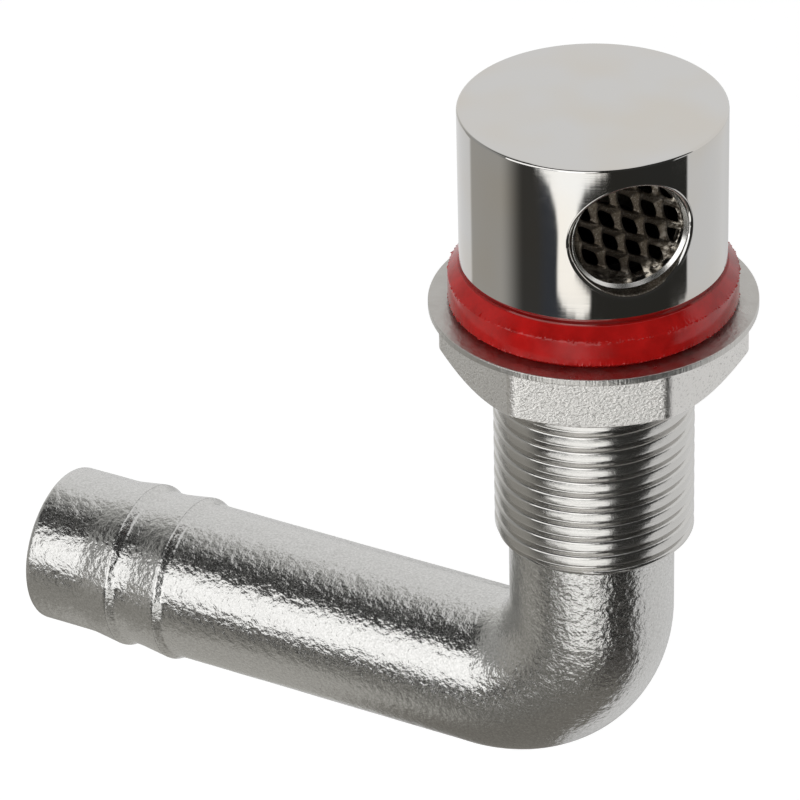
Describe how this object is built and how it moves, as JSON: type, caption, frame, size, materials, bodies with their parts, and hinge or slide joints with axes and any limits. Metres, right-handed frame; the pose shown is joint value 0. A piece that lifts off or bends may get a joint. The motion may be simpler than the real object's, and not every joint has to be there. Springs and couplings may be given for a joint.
{
  "type": "through-hull tank vent",
  "caption": "Through-hull tank vent: round polished head with a screened side hole, gasket, washer and hexagon nut on a threaded shank, and a right-angle hose tail.",
  "frame": {"origin": "on the shank's axis, in the plane where the gasket's underside meets the outside of the hull", "axes": "+Z along the shank towards the head, -X along the hose tail towards its open end; the vent hole faces the direction midway between +X and -Y"},
  "size_m": [0.0839, 0.034, 0.0805],
  "materials": {
    "cast_steel": "investment cast and electropolished, with a turned thread",
    "polished_steel": "mirror polished",
    "mesh_steel": "dull, as slit and stretched",
    "ring_steel": "turned bright",
    "red_rubber": "glossy moulded",
    "washer_steel": "rolled sheet, satin",
    "nut_steel": "investment cast and bead blasted"
  },
  "bodies": {
    "vent": {"elbow_body": "cast_steel", "vent_head": "polished_steel", "flame_screen": "mesh_steel", "screen_ring": "ring_steel", "gasket": "red_rubber"},
    "washer": {"flat_washer": "washer_steel"},
    "nut": {"hex_nut": "nut_steel"}
  },
  "joints": [
    {"name": "nut_travel", "type": "slide", "parent": "vent", "child": "washer", "axis": [0, 0, -1], "range_m": [0, 0.01996]},
    {"name": "nut_turn", "type": "hinge", "parent": "washer", "child": "nut", "pos_m": [0, 0, 0], "axis": [0, 0, -1], "range_deg": [0, 3961]}
  ],
  "couplings": [
    {"joint": "nut_turn", "follows": "nut_travel", "rad_per_m": 3463.2}
  ]
}
